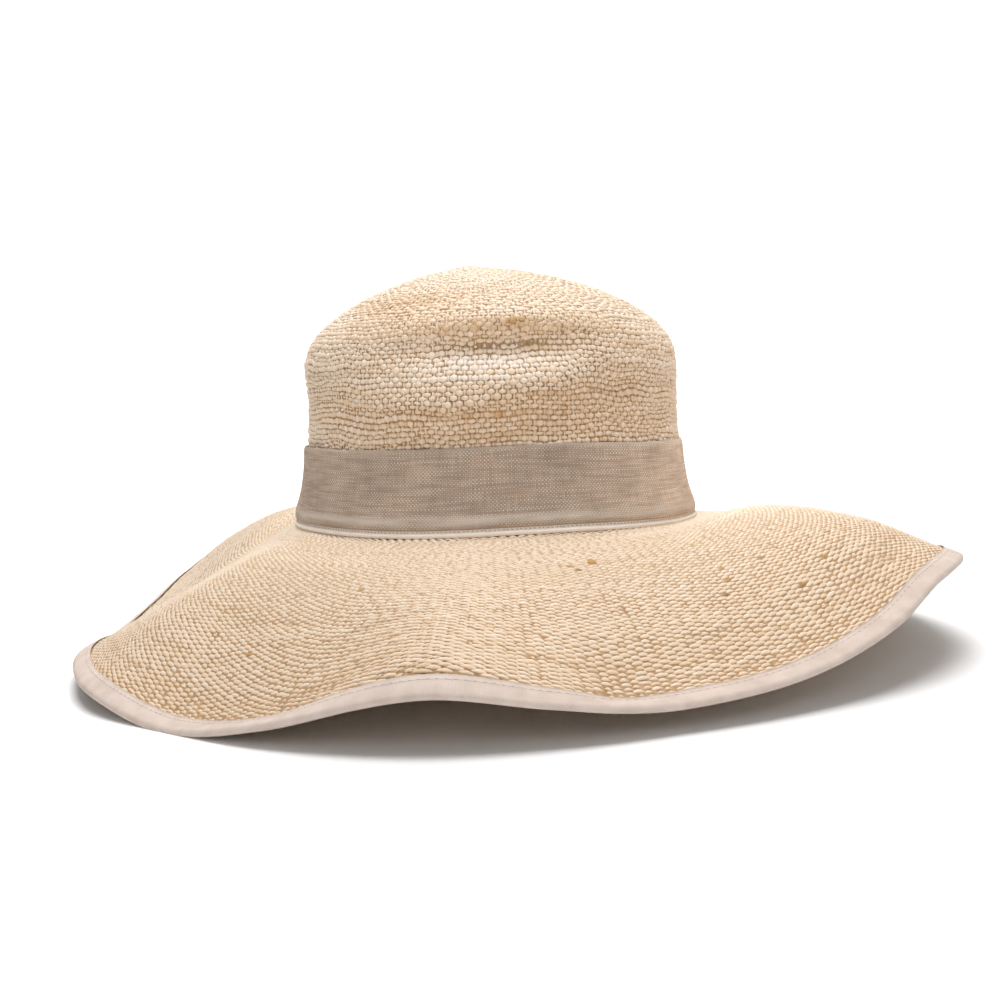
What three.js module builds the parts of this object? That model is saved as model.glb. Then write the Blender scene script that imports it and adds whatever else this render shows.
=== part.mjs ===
// A wide-brimmed sun hat of woven paper straw, as it rests on its wavy brim.
// Millimetres, +Z up. The origin is on the floor under the middle of the hat, and the front faces -Y.
// Angles run anticlockwise seen from above: 0 is the right side, 90 the back, 180 the left, 270 the front.

import * as THREE from 'three';

// Driving sizes
const SEAT_HEIGHT = 63;      // the join of crown and brim above the floor
const RIM_RADIUS = 95.7;     // the brim's inner edge
const STRAW_WALL = 1.2;      // woven straw of the crown and the brim
const TAPE_WALL = 0.8;       // folded tape on the brim's edge
const TAPE_COVER = 8;        // how far the tape reaches in over the brim
const TAPE_FOLD = 1.2;       // how far the fold stands out past the straw's edge
const CLEARANCE = 0.4;       // between neighbouring pieces
const STATIONS = 64;         // sections round the hat
const LEVEL_BAND = 60;       // below this height the crown follows the join's tilt in full
const SOFT_RADIUS = 60;      // a dent fades out where the crown is narrower than this
const EDGE_STRIP = 9.5;      // the brim is straight across this outermost strip

// Straw, linen, cord and tape, as colour, roughness and metalness
const STRAW = { color: 0xdcc3a4, roughness: 0.75, metalness: 0 };
const LINEN = { color: 0xa6907d, roughness: 0.9, metalness: 0 };
const CORD = { color: 0xe6d6c4, roughness: 0.85, metalness: 0 };
const TAPE = { color: 0xd6c5bb, roughness: 0.85, metalness: 0 };

// The brim, one row for each fold. reach is the radius of its edge. root is the height of the join,
// near, middle and rim are heights on the way out, and edge is the height at the edge, all from the seat.
const BRIM_FOLDS = [
  { angle: 0, reach: 211, root: -4.2, near: -5, middle: -15, rim: -28, edge: -34 },
  { angle: 18, reach: 207, root: -3.9, near: -12, middle: -32, rim: -48, edge: -56 },
  { angle: 32, reach: 206, root: -3.5, near: -14, middle: -37, rim: -54.5, edge: -63.4 },
  { angle: 46, reach: 206, root: -2.8, near: -13, middle: -33, rim: -49.5, edge: -58 },
  { angle: 66, reach: 208, root: -1.6, near: -8, middle: -24, rim: -39, edge: -47 },
  { angle: 90, reach: 208, root: -0.4, near: -8, middle: -25, rim: -43, edge: -52 },
  { angle: 110, reach: 205, root: 0.6, near: -9, middle: -34, rim: -53.5, edge: -63.4 },
  { angle: 126, reach: 207, root: 1.2, near: -4, middle: -24, rim: -41, edge: -50 },
  { angle: 140, reach: 214, root: 1.6, near: 3, middle: -11, rim: -21.5, edge: -27 },
  { angle: 150, reach: 211, root: 1.7, near: 3, middle: -12, rim: -28.5, edge: -37 },
  { angle: 160, reach: 207, root: 1.6, near: -3, middle: -25, rim: -41, edge: -49 },
  { angle: 172, reach: 205, root: 1.4, near: -13, middle: -37, rim: -50, edge: -57 },
  { angle: 185, reach: 203, root: 1.2, near: -16, middle: -35, rim: -48, edge: -54.5 },
  { angle: 199, reach: 202, root: 1.0, near: -13, middle: -31, rim: -47.5, edge: -54.5 },
  { angle: 213, reach: 203, root: 0.6, near: -8, middle: -29, rim: -48.5, edge: -56 },
  { angle: 229, reach: 199.5, root: -0.2, near: -9, middle: -37, rim: -58.4, edge: -63.1 },
  { angle: 244, reach: 203.5, root: -0.8, near: -9, middle: -34, rim: -53.4, edge: -55.6 },
  { angle: 262, reach: 209, root: -0.9, near: -7, middle: -20, rim: -31.8, edge: -43.4 },
  { angle: 275, reach: 207, root: -0.8, near: -8, middle: -26, rim: -42, edge: -48.8 },
  { angle: 282, reach: 205.3, root: -1, near: -8.7, middle: -28.5, rim: -49.4, edge: -51.8 },
  { angle: 289, reach: 204, root: -1.2, near: -9, middle: -30, rim: -49.2, edge: -53.4 },
  { angle: 303, reach: 206.5, root: -2.2, near: -7, middle: -26, rim: -44.8, edge: -49.2 },
  { angle: 316, reach: 211, root: -3.2, near: -3, middle: -16, rim: -33, edge: -38 },
  { angle: 326, reach: 214, root: -3.8, near: 0, middle: -7, rim: -20.6, edge: -25.7 },
  { angle: 342, reach: 216, root: -4.2, near: 1.5, middle: -5.5, rim: -17.3, edge: -24 },
];

// How far out each height column lies, as a share of the way from the join to the edge
const FOLD_PLACES = [
  { place: 0, column: 'root' },
  { place: 0.3, column: 'near' },
  { place: 0.65, column: 'middle' },
  { place: 0.88, column: 'rim' },
  { place: 1, column: 'edge' },
];

// The crown, one row for each section. shift moves the section to the right.
const CROWN_SECTIONS = [
  { height: 0, radius: 94.9, shift: 0 },
  { height: 10, radius: 93.1, shift: 0 },
  { height: 20, radius: 91.2, shift: 0.2 },
  { height: 38, radius: 89, shift: 0.8 },
  { height: 60, radius: 88.5, shift: 1.3 },
  { height: 75, radius: 89.2, shift: 1.2 },
  { height: 84, radius: 87, shift: 1.5 },
  { height: 91, radius: 82, shift: 1.5 },
  { height: 97, radius: 75, shift: 1.5 },
  { height: 103.5, radius: 64.5, shift: 1 },
  { height: 109.5, radius: 51.5, shift: 0 },
  { height: 113.5, radius: 40, shift: -1 },
  { height: 117, radius: 27, shift: -3 },
  { height: 119.5, radius: 14, shift: -5 },
  { height: 121, radius: 6, shift: -7 },
  { height: 122, radius: 0, shift: -8 },
];

// Heights of the crown's rings, closest where its front is dented
const CROWN_RINGS = [0, 20, 38, 50, 58, 65, 72, 78, 84, 90, 95, 101, 108, 114, 118.5, 121];

// Dents in the crown, and bulges with a depth below zero. wide is in degrees, tall in millimetres.
const CROWN_DENTS = [
  { angle: 275, height: 106, wide: 38, tall: 12, depth: 4 },
  { angle: 275, height: 93, wide: 34, tall: 7, depth: -2.5 },
  { angle: 274, height: 80, wide: 31, tall: 8.5, depth: 9.5 },
  { angle: 254, height: 57, wide: 24, tall: 9.5, depth: -4.6 },
  { angle: 284, height: 64, wide: 14, tall: 9, depth: -3.4 },
  { angle: 305, height: 78, wide: 10, tall: 8, depth: -2 },
  { angle: 307, height: 62, wide: 14, tall: 9, depth: 3.6 },
];

// Sections of the linen band and of the piping, as distance out from the crown and height over the join
const BAND_SECTION = [
  { out: 1.3, height: 4.6 },
  { out: 2.2, height: 4.6 },
  { out: 2.1, height: 12 },
  { out: 1.8, height: 24 },
  { out: 1.7, height: 37.2 },
  { out: 1.1, height: 38 },
  { out: 0.5, height: 37.2 },
  { out: 0.5, height: 13 },
  { out: 1.3, height: 8.5 },
];
const PIPING_SECTION = [
  { out: 0.4, height: 1.6 },
  { out: 1, height: 1 },
  { out: 2.1, height: 1 },
  { out: 2.9, height: 1.7 },
  { out: 2.9, height: 2.8 },
  { out: 2.1, height: 3.6 },
  { out: 1, height: 4 },
  { out: 1, height: 7.2 },
  { out: 0.4, height: 7.2 },
];

// Cubic curve through one column of a table whose rows are placed by another column
function smooth(rows, key, column, at, period = 0) {
  const last = rows.length - 1;
  const knot = (index) => {
    const turns = period ? Math.floor(index / rows.length) : 0;
    const row = rows[period ? index - turns * rows.length : Math.min(Math.max(index, 0), last)];
    return { x: row[key] + turns * period, y: row[column] };
  };
  const passed = rows.filter((row) => row[key] <= at).length - 1;
  const index = period ? passed : Math.min(Math.max(passed, 0), last - 1);
  const before = knot(index - 1);
  const start = knot(index);
  const end = knot(index + 1);
  const after = knot(index + 2);
  const length = end.x - start.x;
  const share = (at - start.x) / length;
  const leaving = (end.y - before.y) / (end.x - before.x) * length;
  const arriving = (after.y - start.y) / (after.x - start.x) * length;
  const squared = share * share;
  const cubed = squared * share;
  return start.y * (2 * cubed - 3 * squared + 1) + leaving * (cubed - 2 * squared + share)
    + end.y * (3 * squared - 2 * cubed) + arriving * (cubed - squared);
}

// One column of the brim's table at any angle
function fold(column, angle) {
  return smooth(BRIM_FOLDS, 'angle', column, angle, 360);
}

function atAngle(angle, radius, height, shift = 0) {
  const turn = THREE.MathUtils.degToRad(angle);
  return new THREE.Vector3(radius * Math.cos(turn) + shift, radius * Math.sin(turn), height);
}

// Crown: a point of the outer surface moved outwards by a distance, or inwards by a distance below zero
function crownPoint(angle, height, out) {
  const profile = (at) => smooth(CROWN_SECTIONS, 'height', 'radius', at);
  const step = 0.2;
  const slope = (profile(height + step) - profile(height - step)) / (2 * step);
  const steepness = Math.hypot(1, slope);
  let radius = profile(height);
  for (const dent of CROWN_DENTS) {
    const across = (THREE.MathUtils.euclideanModulo(angle - dent.angle + 180, 360) - 180) / dent.wide;
    const up = (height - dent.height) / dent.tall;
    radius -= dent.depth * Math.exp(-across * across - up * up) * Math.min(1, radius / SOFT_RADIUS);
  }
  const top = CROWN_SECTIONS.at(-1).height;
  const climb = Math.max(0, (height - LEVEL_BAND) / (top - LEVEL_BAND));
  const level = SEAT_HEIGHT + height + fold('root', angle) * (1 - climb * climb);
  const shift = smooth(CROWN_SECTIONS, 'height', 'shift', height);
  return atAngle(angle, radius + out / steepness, level - out * slope / steepness, shift);
}

// Brim: a point of the middle of the straw wall, a share of the way from the join to the edge
function brimPoint(angle, share) {
  const turned = THREE.MathUtils.euclideanModulo(angle, 360);
  const heights = FOLD_PLACES.map(({ place, column }) => ({ place, height: fold(column, turned) }));
  const radius = RIM_RADIUS + (fold('reach', turned) - RIM_RADIUS) * share;
  return atAngle(turned, radius, SEAT_HEIGHT + smooth(heights, 'place', 'height', share));
}

// The brim's upward normal at one place
function brimNormal(angle, share) {
  const turnStep = 0.5;
  const shareStep = 0.01;
  const outer = Math.min(share + shareStep, 1);
  const inner = Math.max(share - shareStep, 0);
  const outwards = brimPoint(angle, outer).sub(brimPoint(angle, inner));
  const round = brimPoint(angle + turnStep, share).sub(brimPoint(angle - turnStep, share));
  return outwards.cross(round).normalize();
}

function fromAxis(point) {
  return Math.hypot(point.x, point.y);
}

// A closed surface through rings of points. A ring of one point is a pole at the start or the end.
// Each four-sided patch is split the same way over the hat, so that nested walls stay apart.
function loft(rings, joinEnds, properties, name) {
  const points = rings.flat();
  const number = new Map(points.map((point, index) => [point, index]));
  const faces = [];
  const addFace = (...corners) => faces.push(...corners.map((corner) => number.get(corner)));
  const spans = joinEnds ? rings.length : rings.length - 1;
  for (let span = 0; span < spans; span += 1) {
    const here = rings[span];
    const next = rings[(span + 1) % rings.length];
    for (let index = 0; index < STATIONS; index += 1) {
      const after = (index + 1) % STATIONS;
      if (here.length === 1) {
        addFace(here[0], next[after], next[index]);
      } else if (next.length === 1) {
        addFace(here[index], here[after], next[0]);
      } else if (fromAxis(next[index]) > fromAxis(here[index])) {
        addFace(here[index], here[after], next[index]);
        addFace(here[after], next[after], next[index]);
      } else {
        addFace(here[index], here[after], next[after]);
        addFace(here[index], next[after], next[index]);
      }
    }
  }
  const geometry = new THREE.BufferGeometry().setFromPoints(points);
  geometry.setIndex(faces);
  geometry.computeVertexNormals();
  const mesh = new THREE.Mesh(geometry, new THREE.MeshStandardMaterial(properties));
  mesh.name = name;
  return mesh;
}

// One ring of points, from a function that gives the point at an angle
function ring(pointAt) {
  return Array.from({ length: STATIONS }, (_, index) => pointAt(index * 360 / STATIONS));
}

// Crown: a dome of straw, open below, from the pole inside it round the foot to the pole on top
function makeCrown() {
  const outside = CROWN_RINGS.map((height) => ring((angle) => crownPoint(angle, height, 0)));
  const inside = CROWN_RINGS.map((height) => ring((angle) => crownPoint(angle, height, -STRAW_WALL)));
  const tip = CROWN_SECTIONS.at(-1);
  const pole = (height) => [new THREE.Vector3(tip.shift, 0, SEAT_HEIGHT + height)];
  const rings = [pole(tip.height - STRAW_WALL), ...inside.reverse(), ...outside, pole(tip.height)];
  return loft(rings, false, STRAW, 'crown');
}

// The straw's own edge inside the tape, and the directions of the straight strip that the tape covers
function edgeFrame(angle) {
  const width = fold('reach', angle) - RIM_RADIUS;
  const endShare = 1 - (TAPE_FOLD + TAPE_WALL) / width;
  const startShare = endShare - EDGE_STRIP / width;
  const end = brimPoint(angle, endShare);
  const outwards = end.clone().sub(brimPoint(angle, startShare)).normalize();
  const normal = brimNormal(angle, (startShare + endShare) / 2);
  normal.addScaledVector(outwards, -normal.dot(outwards)).normalize();
  return { end, outwards, normal };
}

// A point beside the brim's edge, by its distance outwards and its distance across the wall
function edgePoint(angle, along, across) {
  const { end, outwards, normal } = edgeFrame(angle);
  return end.addScaledVector(outwards, along).addScaledVector(normal, across);
}

// Brim: a wavy ring of straw, straight across the strip that the tape covers
function makeBrim() {
  const wavyShares = [0, 0.08, 0.2, 0.34, 0.49, 0.64, 0.78];
  const wavy = (side) => wavyShares.map((share) => ring((angle) => {
    return brimPoint(angle, share).addScaledVector(brimNormal(angle, share), side);
  }));
  const strip = (side) => [-EDGE_STRIP, 0].map((along) => ring((angle) => edgePoint(angle, along, side)));
  const surface = (side) => [...wavy(side), ...strip(side)];
  const half = STRAW_WALL / 2;
  return loft([...surface(-half), ...surface(half).reverse()], true, STRAW, 'brim');
}

// Band and piping: rings round the foot of the crown
function makeCrownTrim(section, properties, name) {
  const rings = section.map(({ out, height }) => ring((angle) => crownPoint(angle, height, out)));
  return loft(rings, true, properties, name);
}

// Binding: tape folded over the brim's edge, pressed flat where the hat stands on it
function makeBinding() {
  const inner = STRAW_WALL / 2 + CLEARANCE;
  const outer = inner + TAPE_WALL;
  const slant = outer / 2;
  const section = [
    { along: -TAPE_COVER, across: -inner },
    { along: -TAPE_COVER, across: -outer },
    { along: TAPE_FOLD, across: -outer },
    { along: TAPE_FOLD + slant, across: -slant },
    { along: TAPE_FOLD + slant, across: slant },
    { along: TAPE_FOLD, across: outer },
    { along: -TAPE_COVER, across: outer },
    { along: -TAPE_COVER, across: inner },
    { along: CLEARANCE, across: inner },
    { along: CLEARANCE, across: -inner },
  ];
  const rings = section.map(({ along, across }) => ring((angle) => {
    const point = edgePoint(angle, along, across);
    point.z = Math.max(point.z, 0);
    return point;
  }));
  return loft(rings, true, TAPE, 'brim_binding');
}

const hat = new THREE.Group();
hat.add(
  makeCrown(),
  makeBrim(),
  makeCrownTrim(BAND_SECTION, LINEN, 'hat_band'),
  makeCrownTrim(PIPING_SECTION, CORD, 'band_piping'),
  makeBinding(),
);

// The origin lies under the middle of the box round the whole hat
const middle = new THREE.Box3().setFromObject(hat).getCenter(new THREE.Vector3());
hat.position.set(-middle.x, -middle.y, 0);
hat.updateMatrixWorld(true);

export default hat;
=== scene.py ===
import math

import bmesh
import bpy
import numpy as np
from mathutils import Matrix, Vector


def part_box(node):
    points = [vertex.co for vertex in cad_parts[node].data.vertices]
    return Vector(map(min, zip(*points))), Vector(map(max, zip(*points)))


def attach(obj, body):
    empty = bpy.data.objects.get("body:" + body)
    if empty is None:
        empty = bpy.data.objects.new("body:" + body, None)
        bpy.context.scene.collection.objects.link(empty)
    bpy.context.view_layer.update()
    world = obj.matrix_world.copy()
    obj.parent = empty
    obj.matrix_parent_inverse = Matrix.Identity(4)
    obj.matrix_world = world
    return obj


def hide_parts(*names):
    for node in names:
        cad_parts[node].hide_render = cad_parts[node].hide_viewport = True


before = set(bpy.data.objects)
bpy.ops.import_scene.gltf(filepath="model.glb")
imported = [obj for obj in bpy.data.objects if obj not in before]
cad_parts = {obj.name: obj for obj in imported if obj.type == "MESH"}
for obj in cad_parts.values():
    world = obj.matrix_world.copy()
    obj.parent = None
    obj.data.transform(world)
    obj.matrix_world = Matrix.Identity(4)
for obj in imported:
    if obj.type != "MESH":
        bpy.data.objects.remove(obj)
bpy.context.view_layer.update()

# Camera
# The hat is seen from its front, from a little over the brim. The picture is turned a few degrees, so that
# the right of the brim stands higher than the left. Sizes here and below are millimetres, unless a name
# says otherwise.
MM = 0.001
PHOTO_WIDTH_PIXELS = 1000
FOCAL_LENGTH_PIXELS = 1332
SENSOR_WIDTH = 36
CAMERA_DISTANCE = 650
CAMERA_HEIGHT = 121
CAMERA_ASIDE = 2.4
CAMERA_TIP_DEGREES = 4.46
CAMERA_TURN_DEGREES = 3.0

crown_low, crown_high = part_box("crown")
crown_axis = (crown_low + crown_high) / 2

camera_data = bpy.data.cameras.new("camera")
camera_data.sensor_width = SENSOR_WIDTH
camera_data.lens = FOCAL_LENGTH_PIXELS / PHOTO_WIDTH_PIXELS * SENSOR_WIDTH


def put_in(name, data):
    made = bpy.data.objects.new(name, data)
    bpy.context.scene.collection.objects.link(made)
    return made


camera = put_in("camera", camera_data)
camera.location = (crown_axis.x + CAMERA_ASIDE * MM, crown_axis.y - CAMERA_DISTANCE * MM, CAMERA_HEIGHT * MM)
tipped = Matrix.Rotation(math.pi / 2 - math.radians(CAMERA_TIP_DEGREES), 4, "X")
turned = Matrix.Rotation(math.radians(-CAMERA_TURN_DEGREES), 4, "Z")
camera.rotation_euler = (tipped @ turned).to_euler()
bpy.context.scene.camera = camera

# Brim ground
# The brim is a wide ring of coarse woven paper straw, bent into waves by hand and by wear. This is the thin
# wall between its two faces, which shows in the gaps of the weave, painted dark brown as the shade there.
TURN = 360
SEAT_HEIGHT = 63
RIM_RADIUS = 95.7
GROUND_THICKNESS = 0.3
SEAM_ANGLE = 90
# The ground stands for the strands beneath the floats; its dark brown is painted shade in the weave's gaps
GROUND_SHADE_BROWN = (0.34, 0.2, 0.095)
GROUND_RIB_COLOUR = (0.5, 0.33, 0.19)
GROUND_PALE = (0.74, 0.56, 0.39)
TIGHT_REACH = 75  # how far from the tip or from the join the weave is tighter
TIGHT_SHARE = 0.8  # of the pale colour, where the weave is tightest and the painted shade in its gaps lightest
FOLD_COLUMNS = ("angle", "reach", "root", "near", "middle", "rim", "edge")


def table(columns, *rows):
    return np.array(list(rows), dtype=[(column, float) for column in columns])


# One row for each wave: the radius of the edge there, and heights from the seat at five places on the way out
BRIM_FOLDS = table(
    FOLD_COLUMNS,
    (0, 211, -4.2, -5, -15, -28, -34),
    (18, 207, -3.9, -12, -32, -48, -56),
    (32, 206, -3.5, -14, -37, -54.5, -63.4),
    (46, 206, -2.8, -13, -33, -49.5, -58),
    (66, 208, -1.6, -8, -24, -39, -47),
    (90, 208, -0.4, -8, -25, -43, -52),
    (110, 205, 0.6, -9, -34, -53.5, -63.4),
    (126, 207, 1.2, -4, -24, -41, -50),
    (140, 214, 1.6, 3, -11, -21.5, -27),
    (150, 211, 1.7, 3, -12, -28.5, -37),
    (160, 207, 1.6, -3, -25, -41, -49),
    (172, 205, 1.4, -13, -37, -50, -57),
    (185, 203, 1.2, -16, -35, -48, -54.5),
    (199, 202, 1.0, -13, -31, -47.5, -54.5),
    (213, 203, 0.6, -8, -29, -48.5, -56),
    (229, 199.5, -0.2, -9, -37, -58.4, -63.1),
    (244, 203.5, -0.8, -9, -34, -53.4, -55.6),
    (262, 209, -0.9, -7, -20, -31.8, -43.4),
    (275, 207, -0.8, -8, -26, -42, -48.8),
    (282, 205.3, -1, -8.7, -28.5, -49.4, -51.8),
    (289, 204, -1.2, -9, -30, -49.2, -53.4),
    (303, 206.5, -2.2, -7, -26, -44.8, -49.2),
    (316, 211, -3.2, -3, -16, -33, -38),
    (326, 214, -3.8, 0, -7, -20.6, -25.7),
    (342, 216, -4.2, 1.5, -5.5, -17.3, -24),
)
FOLD_PLACES = np.array([0, 0.3, 0.65, 0.88, 1])
BRIM_WIDTH = 119  # along its slope, on average
EDGE_MARGIN = 2  # how far the straw ends inside the hat's edge
EDGE_STRIP = 9.5  # the outermost straw is straight across this width
ANGLE_STEP = 0.3  # degrees, to find which way a surface runs
OUT_STEP = 0.01  # the same across the brim, as a share of its width
JOIN_DISTANCE = 0.005

chance = np.random.default_rng(41)


def jitter(size, count):
    return size * chance.standard_normal(count)


def curve_through(places, values, at, period=0):
    """A cubic curve through values at those places, read at other places. With a period it has no ends."""
    if period:
        places = np.concatenate([places[-2:] - period, places, places[:2] + period])
        values = np.concatenate([values[-2:], values, values[:2]])
        at = at % period
    else:
        places = np.concatenate([places[:1], places, places[-1:]])
        values = np.concatenate([values[:1], values, values[-1:]])
    spans = places[2:] - places[:-2]
    slopes = np.zeros_like(values)
    slopes[1:-1] = ((values[2:] - values[:-2]).T / spans).T
    start = np.clip(np.searchsorted(places, at, side="right") - 1, 1, len(places) - 3)
    end = start + 1
    length = places[end] - places[start]
    share = (at - places[start]) / length

    def read(table, rows):
        return table[rows] if table.ndim == 1 else table[rows, np.arange(len(rows))]

    leaving = read(slopes, start) * length
    arriving = read(slopes, end) * length
    return (
        read(values, start) * (2 * share**3 - 3 * share**2 + 1)
        + leaving * (share**3 - 2 * share**2 + share)
        + read(values, end) * (3 * share**2 - 2 * share**3)
        + arriving * (share**3 - share**2)
    )


def fold(column, angle):
    return curve_through(BRIM_FOLDS["angle"], BRIM_FOLDS[column], angle, TURN)


def around(angle, radius, level, shift=0):
    """Points at those angles in degrees, radii from the crown's axis and heights over the floor."""
    turn = np.radians(angle)
    return np.stack([radius * np.cos(turn) + shift, radius * np.sin(turn), level], axis=-1)


def strip_shares(angle):
    """Where the straight strip at the brim's edge starts and ends, as shares of the brim's width."""
    width = fold("reach", angle) - RIM_RADIUS
    end = 1 - EDGE_MARGIN / width
    return end - EDGE_STRIP / width, end


def brim_surface(angle, out):
    """Points in the middle of the brim's wall. out runs from 0 at the crown to 1 at the edge."""
    heights = np.array([fold(column, angle) for column in FOLD_COLUMNS[2:]])
    width = fold("reach", angle) - RIM_RADIUS
    strip_start, strip_end = strip_shares(angle)
    start_height = curve_through(FOLD_PLACES, heights, strip_start)
    end_height = curve_through(FOLD_PLACES, heights, strip_end)
    along_strip = (out - strip_start) / (strip_end - strip_start)
    straight = start_height + (end_height - start_height) * along_strip
    height = np.where(out > strip_start, straight, curve_through(FOLD_PLACES, heights, out))
    return around(angle, RIM_RADIUS + width * out, SEAT_HEIGHT + height)


def unit(vectors):
    return vectors / np.linalg.norm(vectors, axis=-1, keepdims=True)


def lie_of(surface, angle, out, step):
    """The points of a surface, and the directions round it, outwards along it and off its upper side."""
    around_it = unit(surface(angle + ANGLE_STEP, out) - surface(angle - ANGLE_STEP, out))
    outwards = unit(surface(angle, out + step) - surface(angle, np.maximum(out - step, 0)))
    off = unit(np.cross(outwards, around_it))
    return surface(angle, out), around_it, outwards, off


def in_frame(points):
    """Points from the crown's axis in millimetres, as points of the frame in metres."""
    return points * MM + np.array([crown_axis.x, crown_axis.y, 0])


def bent_sheet(name, stations, steps, place, u_length, v_length, both_ways=False):
    """A ring round the hat, from a grid. place gives the points for angles and for shares of the way across.
    Its map has a length in millimetres each way."""
    shaping = bmesh.new()
    bmesh.ops.create_grid(shaping, x_segments=stations, y_segments=steps, size=1)
    pattern = shaping.loops.layers.uv.new("cloth")
    for face in shaping.faces:
        for corner in face.loops:
            x, y, _ = corner.vert.co
            corner[pattern].uv = ((x + 1) / 2 * u_length, (y + 1) / 2 * v_length)
    flat = np.array([vertex.co for vertex in shaping.verts])
    shares = (flat[:, :2] + 1) / 2
    points = in_frame(place(SEAM_ANGLE + TURN * shares[:, 0], shares[:, 1]))
    for vertex, point in zip(shaping.verts, points):
        vertex.co = point
    bmesh.ops.remove_doubles(shaping, verts=shaping.verts, dist=JOIN_DISTANCE * MM)
    bmesh.ops.recalc_face_normals(shaping, faces=shaping.faces)
    if not both_ways:
        highest = max(shaping.faces, key=lambda face: face.calc_center_median().z)
        if highest.normal.z < 0:
            bmesh.ops.reverse_faces(shaping, faces=shaping.faces)
    mesh = bpy.data.meshes.new(name)
    shaping.to_mesh(mesh)
    shaping.free()
    mesh.shade_smooth()
    return put_in(name, mesh)


def thicken(piece, thickness):
    wall = piece.modifiers.new("thickness", "SOLIDIFY")
    wall.thickness = thickness * MM
    wall.offset = 0


def add(tree, kind, settings=None, **inputs):
    """A node with its settings. Each input is a value or another node's output, by name or as _number."""
    node = tree.nodes.new(kind)
    for name, value in (settings or {}).items():
        setattr(node, name, value)
    for name, value in inputs.items():
        socket = node.inputs[int(name[1:])] if name[0] == "_" else node.inputs[name.replace("_", " ")]
        if isinstance(value, bpy.types.NodeSocket):
            tree.links.new(value, socket)
        else:
            socket.default_value = value
    return node


def calc(tree, operation, first, second=0.0):
    return add(tree, "ShaderNodeMath", {"operation": operation}, _0=first, _1=second).outputs[0]


def ranged(tree, value, given, wanted=(0.0, 1.0)):
    """A value moved from a given range to a wanted one, and held inside it."""
    node = add(tree, "ShaderNodeMapRange", Value=value, From_Min=given[0], From_Max=given[1])
    node.inputs["To Min"].default_value, node.inputs["To Max"].default_value = wanted
    return node.outputs[0]


def mixed(tree, share, first, second, blend="MIX"):
    settings = {"data_type": "RGBA", "blend_type": blend}
    return add(tree, "ShaderNodeMix", settings, _0=share, _6=first, _7=second).outputs[2]


def noise_at(tree, x, y, z=0.0, detail=1.0):
    place = add(tree, "ShaderNodeCombineXYZ", X=x, Y=y, Z=z).outputs[0]
    return add(tree, "ShaderNodeTexNoise", Vector=place, Scale=1.0, Detail=detail).outputs["Fac"]


def darkened(tree, colour, share):
    return mixed(tree, 1.0, colour, share, "MULTIPLY")


def relief(tree, shader, height, strength, depth):
    raised = add(tree, "ShaderNodeBump", Strength=strength, Distance=depth * MM, Height=height)
    tree.links.new(raised.outputs[0], shader.inputs["Normal"])


def uv_map(tree, name):
    return add(tree, "ShaderNodeUVMap", {"uv_map": name}).outputs[0]


def attribute(tree, name):
    return add(tree, "ShaderNodeAttribute", {"attribute_name": name}).outputs["Fac"]


def new_material(name, roughness, specular):
    """A material with its shader. Both gloss values are the same all over it."""
    material = bpy.data.materials.new(name)
    material.use_nodes = True
    tree = material.node_tree
    tree.nodes.clear()
    shader = add(tree, "ShaderNodeBsdfPrincipled", Roughness=roughness, Specular_IOR_Level=specular)
    add(tree, "ShaderNodeOutputMaterial", Surface=shader.outputs[0])
    return material, tree, shader


def opaque(colour):
    return (*colour, 1)


def new_group(name, numbers, outputs):
    """A node group that reads a vector and some numbers."""
    group = bpy.data.node_groups.new(name, "ShaderNodeTree")
    group.interface.new_socket("Vector", in_out="INPUT", socket_type="NodeSocketVector")
    for number in numbers:
        group.interface.new_socket(number, in_out="INPUT", socket_type="NodeSocketFloat")
    for output in outputs:
        group.interface.new_socket(output, in_out="OUTPUT", socket_type="NodeSocketFloat")
    return group, group.nodes.new("NodeGroupInput"), group.nodes.new("NodeGroupOutput")


# Fine streaks along a strand's length, as paper and plant fibres have
fibres, fibres_in, fibres_out = new_group("fibres", ["Length", "Width"], ["Shade"])
parts = add(fibres, "ShaderNodeSeparateXYZ", Vector=fibres_in.outputs["Vector"])
along = calc(fibres, "DIVIDE", parts.outputs["X"], fibres_in.outputs["Length"])
across = calc(fibres, "DIVIDE", parts.outputs["Y"], fibres_in.outputs["Width"])
fibres.links.new(noise_at(fibres, along, across, detail=2.0), fibres_out.inputs["Shade"])


def fibre_streaks(tree, place, length, width):
    settings = {"node_tree": fibres}
    return add(tree, "ShaderNodeGroup", settings, Vector=place, Length=length, Width=width).outputs["Shade"]


ground, tree, shader = new_material("straw_ground", roughness=0.8, specular=0.2)
cloth_map = uv_map(tree, "cloth")
ribs = fibre_streaks(tree, cloth_map, length=1.3, width=9.0)
rib_share = ranged(tree, ribs, (0.35, 0.65))
# Painted shade: dark brown with paler fibre ribs, lighter where the weave is tight
shade = mixed(tree, rib_share, opaque(GROUND_SHADE_BROWN), opaque(GROUND_RIB_COLOUR))
outwards = add(tree, "ShaderNodeSeparateXYZ", Vector=cloth_map).outputs["Y"]
tight = ranged(tree, outwards, (0.0, TIGHT_REACH), (TIGHT_SHARE, 0.0))
shade = mixed(tree, tight, shade, opaque(GROUND_PALE))
tree.links.new(shade, shader.inputs["Base Color"])
relief(tree, shader, ribs, strength=0.4, depth=0.2)

BRIM_GROUND_START = -0.012  # it meets the crown's wall, as both are woven in one piece
BRIM_GROUND_END = 0.985
BRIM_MIDDLE_RADIUS = 150


def brim_ground_place(angle, share):
    return brim_surface(angle, BRIM_GROUND_START + share * (BRIM_GROUND_END - BRIM_GROUND_START))


brim_round = 2 * math.pi * BRIM_MIDDLE_RADIUS
brim_ground = bent_sheet("brim_ground", 220, 34, brim_ground_place, brim_round, BRIM_WIDTH)
thicken(brim_ground, GROUND_THICKNESS)
brim_ground.data.materials.append(ground)
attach(brim_ground, "root")
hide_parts("brim")

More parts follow.
